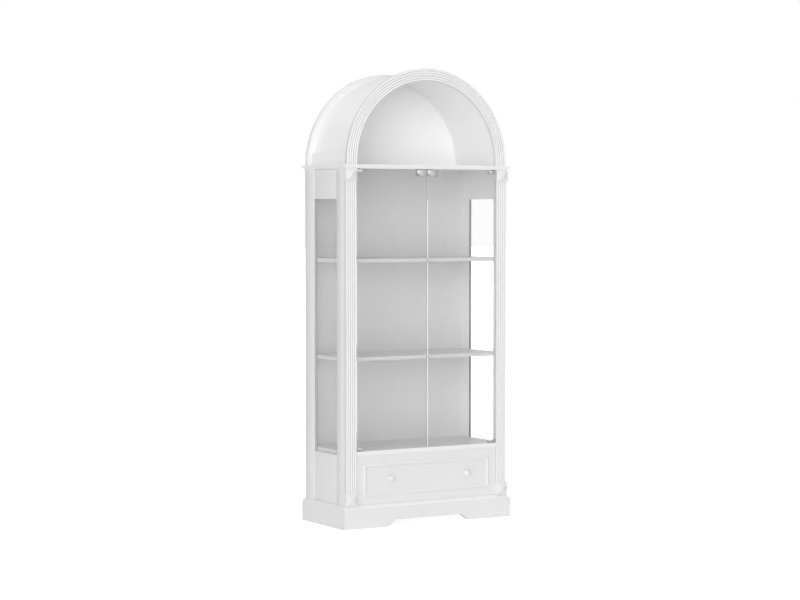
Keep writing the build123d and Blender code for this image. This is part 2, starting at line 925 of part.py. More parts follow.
def main():
    os.makedirs("parts", exist_ok=True)
    write("plinth_front", [plinth_front()])
    pair("plinth_side", plinth_side())
    write("plinth_back", [plinth_back()])
    write("plinth_corner_blocks", plinth_corner_blocks())
    write("base_board", [base_board()])

    pair("front_stile", front_stile())
    pair("rear_stile", rear_stile())
    pair("frieze_panel", frieze_panel())
    pair("lower_panel", lower_panel())
    pair("side_glass", side_glass())
    write("glazing_stops", [glazing_stop(), right_hand(glazing_stop())])

    write("deck_board", [deck_board()])
    write("top_board", [top_board()])
    write("back_panel", [back_panel()])
    write("shelf_lower", [shelf(lower_shelf_low)])
    write("shelf_upper", [shelf(upper_shelf_low)])
    write("shelf_pins", shelf_pins())

    pair("pilaster", pilaster())
    write("lower_blocks", [lower_block(), right_hand(lower_block())])
    write("upper_blocks", [upper_block(), right_hand(upper_block())])

    write("cornice_front", [cornice_front()])
    pair("cornice", cornice_side())
    write("vault_shell", [vault_shell()])
    write("vault_back", [vault_back()])
    write("front_arch", [front_arch()])
    write("rear_arch", [rear_arch()])
    pair("impost", impost())

    pair("drawer_upright", drawer_upright())
    write("drawer_front", [drawer_front()])
    write("drawer_moulding", drawer_moulding())
    pair("drawer_side", drawer_side())
    write("drawer_back", [drawer_back()])
    write("drawer_bottom", [drawer_bottom()])
    pair("drawer_knob", knob())
    write("knob_screws", knob_screws())
    for name, member in (
        ("runner_rails", runner_rail()),
        ("runner_middles", runner_middle()),
        ("runner_drawer_members", runner_drawer()),
    ):
        write(name, [member, right_hand(member)])

    pair("door_glass", door_glass())
    for side in ("left", "right"):
        turn = right_hand if side == "right" else (lambda part: part)
        write("door_clips_" + side, [turn(clip) for clip in door_clips()])
        write("door_pins_" + side, [turn(pin) for pin in door_pins()])
    pair("door_plate", door_plate())
    write("magnet_catches", magnet_catches())
    write("magnets", [magnet(), right_hand(magnet())])


main()
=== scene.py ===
# %% [markdown]
# # A white display cabinet with an arched niche
# The cabinet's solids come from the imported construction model, in metres, already in the place
# where they belong. This script dresses them: it gives every board its paint or pressed grain,
# makes the turned, moulded and metal pieces again in finer form, and sets up a plain pale studio.

# %% Load the frame
import math

import bmesh
import bpy
from mathutils import Matrix, Vector


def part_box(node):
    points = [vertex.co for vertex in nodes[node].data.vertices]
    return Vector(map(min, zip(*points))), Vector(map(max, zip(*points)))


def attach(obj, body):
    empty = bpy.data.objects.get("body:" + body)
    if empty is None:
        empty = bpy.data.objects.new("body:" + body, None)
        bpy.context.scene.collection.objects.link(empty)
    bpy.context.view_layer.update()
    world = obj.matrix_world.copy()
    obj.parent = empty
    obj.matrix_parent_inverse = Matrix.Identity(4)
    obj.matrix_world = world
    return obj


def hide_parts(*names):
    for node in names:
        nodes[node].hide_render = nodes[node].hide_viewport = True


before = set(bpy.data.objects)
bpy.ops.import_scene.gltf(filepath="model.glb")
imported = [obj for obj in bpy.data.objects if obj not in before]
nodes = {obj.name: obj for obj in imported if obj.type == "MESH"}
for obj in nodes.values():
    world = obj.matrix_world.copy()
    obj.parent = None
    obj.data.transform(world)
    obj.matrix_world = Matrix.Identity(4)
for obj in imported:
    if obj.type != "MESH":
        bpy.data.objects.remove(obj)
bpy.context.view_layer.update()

MM = 0.001

# %% [markdown]
# ## Small helpers for materials
# A node tree is easier to read when each node is made in one line and its inputs are filled in the
# same breath. `add_node` does that. Where a value is itself an output socket, `fill` makes a link.
# The nodes that every finish needs, such as noise and relief, have a helper of their own.


# %% Helpers for node trees
def fill(tree, node, **inputs):
    """Fills inputs by name, with an underscore for a space, or by number, as i0, i1 and so on."""
    for name, value in inputs.items():
        numbered = name[0] == "i" and name[1:].isdigit()
        socket = node.inputs[int(name[1:]) if numbered else name.replace("_", " ")]
        if isinstance(value, bpy.types.NodeSocket):
            tree.links.new(value, socket)
        else:
            socket.default_value = value


def add_node(tree, kind, label="", settings=None, **inputs):
    """Makes one shader node and fills its inputs."""
    node = tree.nodes.new(kind)
    node.label = label
    for name, value in (settings or {}).items():
        setattr(node, name, value)
    fill(tree, node, **inputs)
    return node


def math_node(tree, operation, a, b=0.0, c=0.0):
    """A Math node, returned as its output."""
    node = add_node(tree, "ShaderNodeMath", settings={"operation": operation}, i0=a, i1=b, i2=c)
    return node.outputs[0]


def vector_node(tree, label, operation, **inputs):
    """A Vector Math node, returned as its output."""
    node = add_node(tree, "ShaderNodeVectorMath", label, {"operation": operation}, **inputs)
    return node.outputs[0]


def stretched(tree, place, factors):
    """A place multiplied by one factor for each axis, which squeezes a pattern along that axis."""
    return vector_node(tree, "stretched", "MULTIPLY", i0=place, i1=factors)


def shaded(tree, colour, shade):
    """A colour made lighter or darker by a shade, where 1 leaves it as it is."""
    return vector_node(tree, "shaded", "SCALE", i0=colour, Scale=shade)


def noise(tree, label, place, scale, detail, roughness=0.5):
    """A Noise Texture, returned as its value."""
    texture = add_node(
        tree, "ShaderNodeTexNoise", label,
        Vector=place, Scale=scale, Detail=detail, Roughness=roughness,
    )
    return texture.outputs["Fac"]


def coordinate(tree, place, axis):
    """The X, Y or Z of a place."""
    return add_node(tree, "ShaderNodeSeparateXYZ", Vector=place).outputs[axis]


def mottled(tree, value, reach):
    """A shade around 1, which a noise moves by half of reach each way."""
    return math_node(tree, "MULTIPLY_ADD", value, reach, 1.0 - reach / 2)


print("helpers ready")


# %% Helpers for node groups
FLOAT = "NodeSocketFloat"
VECTOR = "NodeSocketVector"
COLOUR = "NodeSocketColor"


def new_group(name, inputs, outputs):
    """An empty shader node group with named sockets, with its start and its end."""
    group = bpy.data.node_groups.new(name, "ShaderNodeTree")
    for socket_name, kind, default in inputs:
        socket = group.interface.new_socket(socket_name, in_out="INPUT", socket_type=kind)
        if default is not None:
            socket.default_value = default
    for socket_name, kind in outputs:
        group.interface.new_socket(socket_name, in_out="OUTPUT", socket_type=kind)
    return group, group.nodes.new("NodeGroupInput"), group.nodes.new("NodeGroupOutput")


def place_group(tree, group, **inputs):
    """Places a group in a material and fills its inputs."""
    return add_node(tree, "ShaderNodeGroup", settings={"node_tree": group}, **inputs)


print("group helpers ready")

# %% [markdown]
# ## The sprayed paint
# Furniture lacquer isn't perfectly flat. A spray gun leaves a very low, rounded ripple, and the
# coat is a touch uneven in sheen. Two noises do this: a fine one for the ripple and a broad one for
# the sheen. Both are far too weak to see from across a room, but a highlight breaks up over them.

# %% Group: sprayed paint
RIPPLE_SCALE = 420.0
COAT_SCALE = 5.0
SHEEN_DRIFT = 0.16
TINT_DRIFT = 0.035


def make_spray_group():
    """Ripple height, sheen and a faint tint for sprayed lacquer."""
    group, start, end = new_group(
        "sprayed_lacquer",
        [("Vector", VECTOR, None), ("Colour", COLOUR, (0.8, 0.8, 0.8, 1)), ("Sheen", FLOAT, 0.4)],
        [("Colour", COLOUR), ("Roughness", FLOAT), ("Height", FLOAT)],
    )
    vector = start.outputs["Vector"]
    ripple = noise(group, "ripple", vector, scale=RIPPLE_SCALE, detail=2.0, roughness=0.45)
    coat = noise(group, "uneven coat", vector, scale=COAT_SCALE, detail=3.0, roughness=0.6)
    uneven = math_node(group, "SUBTRACT", coat, 0.5)
    rough = math_node(group, "MULTIPLY_ADD", uneven, SHEEN_DRIFT, start.outputs["Sheen"])
    tint = math_node(group, "MULTIPLY_ADD", uneven, TINT_DRIFT, 1.0)
    colour = shaded(group, start.outputs["Colour"], tint)
    fill(group, end, Colour=colour, Roughness=rough, Height=ripple)
    return group


spray_group = make_spray_group()
print("group", spray_group.name, "with", len(spray_group.nodes), "nodes")

# %% [markdown]
# ## The pressed grain
# The boards inside the cabinet and the drawer's front carry a grain that is pressed into their
# white skin. In flat-sawn wood the year rings show as nested arches, which stretch out along the
# board. A parabola gives the arches: its value grows along the board and with the square of the
# distance from the board's middle. Noise bends them, a sine turns the value into rings, and a
# second noise, stretched along the grain, adds the short pores between them.

# %% Group: pressed grain
# How fast the rings follow one another along a board, and how far the next board is shifted
RING_CLIMB = 0.45
BOARD_CHANGE = 7.3
BOARD_SHIFT = 0.9
# How the rings bend, how thin the dark late wood is, and how deep it lies
BEND_STRETCH = (9.0, 9.0, 1.6)
BEND_REACH = 0.42
LATE_WOOD = 2.2
RING_DEPTH = 0.55
# How fine and long the pores are, how many of them open, and how deep they go
PORE_STRETCH = (900.0, 900.0, 26.0)
PORE_START = 0.56
PORE_SOFTNESS = 0.02
PORE_DEPTH = 3.0
# How much lighter the ridges are than the hollows, and the shade at the surface
GRAIN_TONE = 0.05
GRAIN_LEVEL = 1.015


def make_grain_group():
    """Height and a faint shade for grain that runs along Z, across X, of its vector."""
    group, start, end = new_group(
        "pressed_grain",
        [
            ("Vector", VECTOR, None), ("Plank", FLOAT, 0.26),
            ("Rings", FLOAT, 62.0), ("Arch", FLOAT, 26.0),
        ],
        [("Height", FLOAT), ("Shade", FLOAT)],
    )
    vector = start.outputs["Vector"]
    plank = start.outputs["Plank"]
    across = coordinate(group, vector, "X")
    along = coordinate(group, vector, "Z")
    board = math_node(group, "FLOOR", math_node(group, "DIVIDE", across, plank))
    middle = math_node(group, "MULTIPLY", math_node(group, "ADD", board, 0.5), plank)
    local = math_node(group, "SUBTRACT", across, middle)
    swing = math_node(group, "SINE", math_node(group, "MULTIPLY", board, BOARD_CHANGE))
    offset = math_node(group, "MULTIPLY", swing, BOARD_SHIFT)
    square = math_node(group, "MULTIPLY", local, local)
    bow = math_node(group, "MULTIPLY", square, start.outputs["Arch"])
    climb = math_node(group, "ADD", math_node(group, "MULTIPLY", along, RING_CLIMB), offset)
    bend_place = stretched(group, vector, BEND_STRETCH)
    bends = noise(group, "bends", bend_place, scale=1.0, detail=3.0, roughness=0.55)
    bent = math_node(group, "MULTIPLY", bends, BEND_REACH)
    field = math_node(group, "ADD", math_node(group, "ADD", climb, bow), bent)
    wave = math_node(group, "SINE", math_node(group, "MULTIPLY", field, start.outputs["Rings"]))
    ring = math_node(group, "POWER", math_node(group, "MULTIPLY_ADD", wave, 0.5, 0.5), LATE_WOOD)
    pore_place = stretched(group, vector, PORE_STRETCH)
    pores = noise(group, "pores", pore_place, scale=1.0, detail=2.0, roughness=0.6)
    over = math_node(group, "SUBTRACT", pores, PORE_START)
    pore = math_node(group, "SMOOTH_MAX", over, 0.0, PORE_SOFTNESS)
    sunk = math_node(group, "MULTIPLY", pore, PORE_DEPTH)
    height = math_node(group, "SUBTRACT", math_node(group, "MULTIPLY", ring, -RING_DEPTH), sunk)
    shade = math_node(group, "MULTIPLY_ADD", height, GRAIN_TONE, GRAIN_LEVEL)
    fill(group, end, Height=height, Shade=shade)
    return group


grain_group = make_grain_group()
print("group", grain_group.name, "with", len(grain_group.nodes), "nodes")

# %% [markdown]
# ## Whites and painted light
# The cabinet is white all over, in one lacquer, but here not every face gets the same white. The
# faces that look into it get a whiter white than its outer sides, and so does the sloping top edge
# of the plinth. These lighter whites are painted light, standing in for light that the lamps don't
# bring there. A second material would need the faces of each board to be sorted by hand. A mask
# that reads where a point lies picks between two whites instead, within one material.


# %% Whites, painted light and masks
WARMTH = 0.003
MASK_MARGIN = 0.5


def white(level):
    """A white of a given lightness, with a trace less blue."""
    return (level, level, level - WARMTH, 1.0)


# Apart from LACQUER and KNOB_WHITE, these whites are painted light: lighter copies of the one
# lacquer for the cornice and imposts, the vault, the niche, the inner faces of the side frames and
# the top edge of the plinth, where the lamps bring too little light. The inner boards' white is
# partly their own colour and partly painted light.
LACQUER = white(0.76)
BEVEL_PAINTED_LIGHT = white(0.83)
INNER_WHITE_AND_LIGHT = white(0.825)
CROWN_PAINTED_LIGHT = white(0.86)
VAULT_PAINTED_LIGHT = white(0.88)
FRAME_PAINTED_LIGHT = white(0.91)
NICHE_PAINTED_LIGHT = white(0.94)
KNOB_WHITE = (0.78, 0.78, 0.778, 1.0)
FRAME_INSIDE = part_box("frieze_panel_right")[0].x + MASK_MARGIN * MM
BEVEL_RISE = 15.0
BEVEL_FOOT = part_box("plinth_front")[1].z - BEVEL_RISE * MM


# Used only to mix in painted light and painted shade: a lighter white on lacquer, and a shaded lip
# on a white strip.
def painted_light_and_shade_mix(tree, mask, first, second):
    """The first colour where a mask is 0, and the second where it is 1."""
    mix = add_node(
        tree, "ShaderNodeMix", "painted light and shade", {"data_type": "RGBA"}, i0=mask, i6=first, i7=second,
    )
    return mix.outputs[2]


def painted_light_inside(tree, place):
    """The lacquer of the side frames, with painted light on the faces that look into the cabinet.
    """
    off_middle = math_node(tree, "ABSOLUTE", coordinate(tree, place, "X"))
    inside = math_node(tree, "LESS_THAN", off_middle, FRAME_INSIDE)
    return painted_light_and_shade_mix(tree, inside, LACQUER, FRAME_PAINTED_LIGHT)


def painted_light_on_bevel(tree, place):
    """The lacquer of the plinth, with painted light on its sloping top edge."""
    bevel = math_node(tree, "GREATER_THAN", coordinate(tree, place, "Z"), BEVEL_FOOT)
    return painted_light_and_shade_mix(tree, bevel, LACQUER, BEVEL_PAINTED_LIGHT)


print("the side frames are whiter within", round(FRAME_INSIDE, 4), "m of the middle")
print("the plinth is whiter above", round(BEVEL_FOOT, 4), "m")

# %% [markdown]
# ## Painted shade between reeds, and crowned boards
# The pilasters and the front arch are cut into reeds, and little light reaches the valleys between
# them. The boards of the side frames have a low crown, so that their joints show as soft shadows.
# The solids have both shapes, but a render shows them more faintly than the real cabinet does. Both
# follow from where a point lies: a cosine across the reeds paints shade into their valleys, and a
# parabola across each board deepens its crown as a bump in the paint's relief.

# %% Reeds and crowns
REED_COUNT = 5
REED_PAINTED_SHADE = 0.12
BOARD_CROWN = 4.2
SIDE_BOARDS = ("frieze_panel", "front_stile", "rear_stile")
pilaster_low, pilaster_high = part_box("pilaster_right")
arch_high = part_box("front_arch")[1]
REED_PITCH = (pilaster_high.x - pilaster_low.x) / REED_COUNT
SHAFT_REEDS = (pilaster_low.x, pilaster_high.z)
ARCH_REEDS = (arch_high.x - REED_COUNT * REED_PITCH, arch_high.z - arch_high.x)


def reed_shade(tree, place, start, centre):
    """Painted shade in the valleys between reeds, which begin at start and turn above centre."""
    above = math_node(tree, "SUBTRACT", coordinate(tree, place, "Z"), centre)
    above = math_node(tree, "MAXIMUM", above, 0.0)
    sideways = coordinate(tree, place, "X")
    level = math_node(tree, "MULTIPLY", sideways, sideways)
    reach = math_node(tree, "SQRT", math_node(tree, "MULTIPLY_ADD", above, above, level))
    turns = math_node(tree, "DIVIDE", math_node(tree, "SUBTRACT", reach, start), REED_PITCH)
    valley = math_node(tree, "COSINE", math_node(tree, "MULTIPLY", turns, math.tau))
    return math_node(tree, "MULTIPLY_ADD", valley, -REED_PAINTED_SHADE, 1.0 + REED_PAINTED_SHADE / 3)


def middle_and_half(box):
    """Where a board's middle lies from front to back, and half its width, in metres."""
    low, high = box
    return (low.y + high.y) / 2, (high.y - low.y) / 2


def board_crown(tree, place):
    """Height in millimetres of the soft crown of each side board; they meet in shallow valleys."""
    panel, front, rear = [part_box(name + "_left") for name in SIDE_BOARDS]
    along = coordinate(tree, place, "Y")
    in_front = math_node(tree, "LESS_THAN", along, front[1].y)
    behind = math_node(tree, "GREATER_THAN", along, rear[0].y)
    panel_middle, panel_half = middle_and_half(panel)
    middle, half = panel_middle, panel_half
    for stile, mask in ((front, in_front), (rear, behind)):
        stile_middle, stile_half = middle_and_half(stile)
        middle = math_node(tree, "MULTIPLY_ADD", mask, stile_middle - panel_middle, middle)
        half = math_node(tree, "MULTIPLY_ADD", mask, stile_half - panel_half, half)
    share = math_node(tree, "DIVIDE", math_node(tree, "SUBTRACT", along, middle), half)
    return math_node(tree, "MULTIPLY", math_node(tree, "MULTIPLY", share, share), -BOARD_CROWN)


print(REED_COUNT, "reeds,", round(REED_PITCH / MM, 2), "mm apart")

# %% [markdown]
# ## Paints
# Every white part has the same kind of lacquer, so one function builds them all. What differs is
# the white, which on several parts is painted light, the sheen, how strongly the grain under the
# paint shows and which way it runs, and whether there are reeds with painted shade in their
# valleys, or a crown. A Mapping node turns the pattern to run along the board.


# %% Painted materials
UPRIGHT = (0.0, 0.0, 0.0)
ACROSS = (0.0, math.radians(90), 0.0)
INWARD = (math.radians(90), 0.0, 0.0)
RIPPLE_HEIGHT = 0.1


def new_material(name):
    """A material with its node tree and its Principled BSDF."""
    material = bpy.data.materials.new(name)
    material.use_nodes = True
    tree = material.node_tree
    return material, tree, tree.nodes["Principled BSDF"]


def object_place(tree):
    """Where a point lies, in metres of the cabinet's own frame."""
    return add_node(tree, "ShaderNodeTexCoord").outputs["Object"]


def relief(tree, height):
    """The normal of a surface with a relief, from its height in millimetres."""
    bump = add_node(tree, "ShaderNodeBump", "relief", Strength=1.0, Distance=MM, Height=height)
    return bump.outputs[0]


def painted(
    name, colour=LACQUER, sheen=0.38, ripple=0.12, grain=0.0, turn=UPRIGHT, shift=(0.0, 0.0, 0.0),
    reeds=None, crown=None, **size,
):
    """White lacquer, over grain of a depth in millimetres, with painted shade between reeds, or on
    a crowned board.
    """
    material, tree, bsdf = new_material(name)
    place = object_place(tree)
    if callable(colour):
        colour = colour(tree, place)
    film = place_group(tree, spray_group, Vector=place, Colour=colour, Sheen=sheen)
    height = math_node(tree, "MULTIPLY", film.outputs["Height"], ripple * RIPPLE_HEIGHT)
    shade = 1.0
    if grain:
        turned = add_node(
            tree, "ShaderNodeMapping", "along the board",
            Vector=place, Location=shift, Rotation=turn,
        )
        wood = place_group(tree, grain_group, Vector=turned.outputs[0], **size)
        height = math_node(tree, "MULTIPLY_ADD", wood.outputs["Height"], grain, height)
        shade = wood.outputs["Shade"]
    if reeds:
        shade = reed_shade(tree, place, *reeds)
    if crown:
        height = math_node(tree, "ADD", height, crown(tree, place))
    toned = shaded(tree, film.outputs["Colour"], shade)
    roughness = film.outputs["Roughness"]
    fill(tree, bsdf, Base_Color=toned, Roughness=roughness, Normal=relief(tree, height))
    return material


# The plinth, crown, side frame, vault and niche lacquers carry painted light in their whites, and
# the inner boards' white is partly painted light. The shaft and arch lacquers carry painted shade
# between their reeds.
paint_smooth = painted("lacquer_smooth", ripple=0.08)
paint_frame = painted("lacquer_side_frame_painted_light", colour=painted_light_inside, ripple=0.08, crown=board_crown)
paint_plinth = painted("lacquer_plinth_painted_light", colour=painted_light_on_bevel, ripple=0.08)
paint_moulded = painted("lacquer_moulded", sheen=0.34, ripple=0.06)
paint_crown = painted("lacquer_crown_painted_light", colour=CROWN_PAINTED_LIGHT, ripple=0.06)
paint_shaft = painted("lacquer_shaft_reeds_painted_shade", sheen=0.34, ripple=0.03, reeds=SHAFT_REEDS)
paint_arch = painted("lacquer_arch_reeds_painted_shade", sheen=0.34, ripple=0.03, reeds=ARCH_REEDS)
paint_drawer = painted(
    "lacquer_drawer_grain", sheen=0.36, grain=0.02, turn=ACROSS, shift=(0.03, 0.0, 0.02),
    Plank=0.21, Arch=75.0, Rings=100.0,
)
paint_back = painted(
    "lacquer_back_grain", colour=INNER_WHITE_AND_LIGHT, sheen=0.42, grain=0.05, shift=(0.085, 0.0, 0.3),
    Arch=75.0, Rings=100.0,
)
paint_board = painted(
    "lacquer_board_grain", colour=INNER_WHITE_AND_LIGHT, sheen=0.40, grain=0.03, turn=ACROSS,
)
paint_deep = painted(
    "lacquer_side_grain", colour=INNER_WHITE_AND_LIGHT, sheen=0.40, grain=0.05, turn=INWARD,
)
paint_vault = painted("lacquer_vault_painted_light", colour=VAULT_PAINTED_LIGHT, ripple=0.08)
paint_niche = painted("lacquer_niche_painted_light", colour=NICHE_PAINTED_LIGHT, ripple=0.08)
paint_knob = painted("lacquer_knob", sheen=0.22, colour=KNOB_WHITE)
print("painted materials ready")

# %% [markdown]
# ## Glass
# Float glass is clear, with a trace of green that only shows through its edges. Light has to pass
# the panes to reach the shelves, and a renderer counts a solid pane as a shadow, so shadow rays see
# a plain transparent surface in place of the glass. Its index is lower than that of real glass,
# because these panes mirror very little of the room.


# %% Glass
GLASS_TINT = (0.999, 1.0, 0.9995, 1.0)
GLASS_INDEX = 1.28
SMEAR_ROUGHNESS = 0.012
PASSED_LIGHT = (0.84, 0.84, 0.84, 1.0)


def clear_glass():
    """Clear float glass that lets shadow rays through."""
    material, tree, bsdf = new_material("float_glass")
    smears = noise(tree, "wiped smears", object_place(tree), scale=6.0, detail=4.0, roughness=0.6)
    rough = math_node(tree, "MULTIPLY", smears, SMEAR_ROUGHNESS)
    fill(
        tree, bsdf,
        Base_Color=GLASS_TINT, Transmission_Weight=1.0, IOR=GLASS_INDEX, Roughness=rough,
    )
    path = add_node(tree, "ShaderNodeLightPath").outputs
    open_air = add_node(tree, "ShaderNodeBsdfTransparent", Color=PASSED_LIGHT)
    passing = math_node(tree, "MAXIMUM", path["Is Shadow Ray"], path["Is Diffuse Ray"])
    mix = add_node(
        tree, "ShaderNodeMixShader", "shadow rays pass",
        i0=passing, i1=bsdf.outputs[0], i2=open_air.outputs[0],
    )
    fill(tree, tree.nodes["Material Output"], Surface=mix.outputs[0])
    return material


glass = clear_glass()
print("glass ready")

# %% [markdown]
# ## Metal
# The clips and plates are chromed, the runners, screws and pins are zinc plated, and the pivots are
# dark steel. A plain metal surface would look like a mirror, so a noise that is stretched one way
# draws the fine lines that polishing or rolling leaves, and a second one mottles the plating.

# %% Metal
LINE_DEPTH = 0.02
HAZE_REACH = 0.08


def metal(name, colour, rough, scratch, direction):
    """Plated metal with fine lines along one direction."""
    material, tree, bsdf = new_material(name)
    place = object_place(tree)
    lines = noise(tree, "lines", stretched(tree, place, direction), scale=1.0, detail=3.0)
    haze = noise(tree, "haze", place, scale=60.0, detail=2.0)
    roughness = math_node(tree, "MULTIPLY_ADD", lines, scratch, rough)
    normal = relief(tree, math_node(tree, "MULTIPLY", lines, scratch * LINE_DEPTH))
    toned = shaded(tree, colour, mottled(tree, haze, HAZE_REACH))
    fill(tree, bsdf, Metallic=1.0, Base_Color=toned, Roughness=roughness, Normal=normal)
    return material


chrome = metal(
    "polished_chrome", (0.64, 0.64, 0.65), rough=0.08, scratch=0.05, direction=(40.0, 40.0, 900.0),
)
zinc = metal(
    "zinc_plate", (0.60, 0.61, 0.63), rough=0.30, scratch=0.16, direction=(700.0, 12.0, 700.0),
)
pin_steel = metal(
    "dark_pin_steel", (0.06, 0.06, 0.063), rough=0.34, scratch=0.10, direction=(200.0, 200.0, 20.0),
)
print("chrome, zinc and pin steel ready")

# %% [markdown]
# ## Plastic and rubber
# The pads under the clips are grey rubber, and the catches behind the door plates are plastic. Both
# come out of a mould whose walls are finely etched, which a small noise gives. The strips that hold
# the side panes are white. Their dark lip along the glass is painted shade: a mask darkens the part
# of each strip nearest the middle, where the reveal behind the pane lies in shadow.

# %% Plastic and rubber
GRIT_SCALE = 900.0
GRIT_DEPTH = 0.02
GRIT_TONE = 0.06
GRIT_ROUGHNESS = 0.1
LIP_WIDTH = 3.0
# Painted shade for the strips' inner lip, where the reveal lies in shadow
LIP_PAINTED_SHADE = (0.10, 0.10, 0.102, 1.0)
LIP_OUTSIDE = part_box("glazing_stops")[1].x - LIP_WIDTH * MM


def white_strip_with_painted_shade(tree, place):
    """White strip with painted shade on its inner lip, told apart by the distance from the
    cabinet's middle.
    """
    off_middle = math_node(tree, "ABSOLUTE", coordinate(tree, place, "X"))
    strip = math_node(tree, "GREATER_THAN", off_middle, LIP_OUTSIDE)
    return painted_light_and_shade_mix(tree, strip, LIP_PAINTED_SHADE, LACQUER)


def moulded(name, colour, rough):
    """Moulded plastic or rubber with a finely etched surface."""
    material, tree, bsdf = new_material(name)
    place = object_place(tree)
    if callable(colour):
        colour = colour(tree, place)
    grit = noise(tree, "grit", place, scale=GRIT_SCALE, detail=2.0)
    toned = shaded(tree, colour, mottled(tree, grit, GRIT_TONE))
    roughness = math_node(tree, "MULTIPLY_ADD", grit, GRIT_ROUGHNESS, rough)
    normal = relief(tree, math_node(tree, "MULTIPLY", grit, GRIT_DEPTH))
    fill(tree, bsdf, Base_Color=toned, Roughness=roughness, Normal=normal)
    return material


seal_grey = moulded("grey_seal", (0.28, 0.28, 0.285), rough=0.55)
stop_strip = moulded("glazing_strip_with_painted_shade", white_strip_with_painted_shade, rough=0.5)
catch_white = moulded("catch_plastic", (0.70, 0.70, 0.68), rough=0.42)
print("the lip ends", round(LIP_OUTSIDE, 4), "from the middle")

# %% [markdown]
# ## Bare softwood
# The glue blocks in the corners of the plinth are pine offcuts without any paint. The grain group
# serves once more: its height picks a colour between pale early wood and browner late wood on a
# colour ramp, and gives the rings a little relief.

# %% Bare softwood
EARLY_WOOD = (0.62, 0.44, 0.25, 1.0)
RING_BROWN = (0.40, 0.23, 0.11, 1.0)
RING_CONTRAST = 1.4
RING_SHEEN = 0.1
PINE_ROUGHNESS = 0.5
PINE_RELIEF = 0.12


def softwood():
    """Unpainted pine for the glue blocks inside the plinth."""
    material, tree, bsdf = new_material("bare_pine")
    place = object_place(tree)
    wood = place_group(tree, grain_group, Vector=place, Plank=0.09, Rings=95.0, Arch=60.0)
    late = math_node(tree, "MULTIPLY", wood.outputs["Height"], -RING_CONTRAST)
    ramp = add_node(tree, "ShaderNodeValToRGB", "early and late wood", Fac=late)
    for stop, colour in zip(ramp.color_ramp.elements, (EARLY_WOOD, RING_BROWN)):
        stop.color = colour
    roughness = math_node(tree, "MULTIPLY_ADD", wood.outputs["Shade"], RING_SHEEN, PINE_ROUGHNESS)
    normal = relief(tree, math_node(tree, "MULTIPLY", wood.outputs["Height"], PINE_RELIEF))
    fill(tree, bsdf, Base_Color=ramp.outputs["Color"], Roughness=roughness, Normal=normal)
    return material


pine = softwood()
print("pine ready")

# %% [markdown]
# ## Dressing the construction nodes
# Most of the boards already have the right shape, so they stay and only get a finish. One table
# says which finish goes on which nodes, and the last line names any node that was forgotten.


# %% Finishes of the nodes
def pairs(*names):
    """The left and the right node of each name."""
    return [name + side for name in names for side in ("_left", "_right")]


FINISHES = {
    paint_smooth: ["plinth_back"],
    paint_plinth: ["plinth_front", *pairs("plinth_side")],
    paint_crown: ["cornice_front", *pairs("impost", "cornice")],
    paint_frame: pairs("front_stile", "rear_stile", "frieze_panel", "lower_panel"),
    paint_moulded: ["lower_blocks", "upper_blocks", "rear_arch", "drawer_moulding"],
    paint_shaft: pairs("pilaster"),
    paint_arch: ["front_arch"],
    paint_drawer: ["drawer_front"],
    paint_back: ["back_panel"],
    paint_vault: ["vault_shell"],
    paint_niche: ["vault_back"],
    paint_board: [
        "base_board", "deck_board", "top_board", "shelf_lower", "shelf_upper",
        "drawer_back", "drawer_bottom",
    ],
    paint_deep: pairs("drawer_side", "drawer_upright"),
    paint_knob: pairs("drawer_knob"),
    glass: pairs("side_glass", "door_glass"),
    chrome: pairs("door_clips", "door_plate"),
    zinc: [
        "shelf_pins", "knob_screws", "magnets",
        "runner_rails", "runner_middles", "runner_drawer_members",
    ],
    pin_steel: pairs("door_pins"),
    stop_strip: ["glazing_stops"],
    catch_white: ["magnet_catches"],
    pine: ["plinth_corner_blocks"],
}
for finish, names in FINISHES.items():
    for name in names:
        for spot in nodes[name].material_slots:
            spot.material = finish
undressed = set(nodes) - {name for names in FINISHES.values() for name in names}
print("nodes without a finish:", sorted(undressed))

# %% [markdown]
# ## Making new pieces
# The finer pieces are modelled here with mesh operators. Each starts from a simple shape or from a
# short profile, and `finish_piece` closes it, turns its faces outwards, shades its round parts
# smoothly and lets it ride on the body that carries it.

# %% Helper that finishes a piece
WELD = 0.001


def finish_piece(mesh, name, material, body, crease=32.0, stands_for=()):
    """Turns a bmesh into a finished piece of the object."""
    bmesh.ops.remove_doubles(mesh, verts=mesh.verts, dist=WELD * MM)
    bmesh.ops.recalc_face_normals(mesh, faces=mesh.faces)
    data = bpy.data.meshes.new(name)
    mesh.to_mesh(data)
    mesh.free()
    data.materials.append(material)
    data.shade_smooth()
    data.set_sharp_from_angle(angle=math.radians(crease))
    piece = bpy.data.objects.new(name, data)
    bpy.context.scene.collection.objects.link(piece)
    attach(piece, body)
    if stands_for:
        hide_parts(*stands_for)
    low, high = (Vector(corner) for corner in (piece.bound_box[0], piece.bound_box[6]))
    print(name, len(data.polygons), "faces, size in mm", [round(v / MM, 1) for v in high - low])


print("pieces weld points within", WELD, "mm")


# %% Helpers that shape a mesh
def in_mm(corners):
    """The corners of a box, in millimetres."""
    return [corner / MM for corner in corners]


def only(kind, made):
    """The vertices or the faces among what an operator made."""
    return [part for part in made["geom"] if isinstance(part, kind)]


def add_box(mesh, low, high):
    """Adds a plain box between two corners in metres, and gives its edges."""
    made = bmesh.ops.create_cube(mesh, size=1.0)["verts"]
    bmesh.ops.scale(mesh, vec=high - low, verts=made)
    bmesh.ops.translate(mesh, vec=(low + high) / 2, verts=made)
    return list(dict.fromkeys(e for v in made for e in v.link_edges))


def round_edges(mesh, edges, width, segments):
    """Rounds edges by a width in millimetres."""
    bmesh.ops.bevel(
        mesh, geom=edges, offset=width * MM, offset_type="OFFSET", segments=segments,
        profile=0.5, affect="EDGES", material=-1,
    )


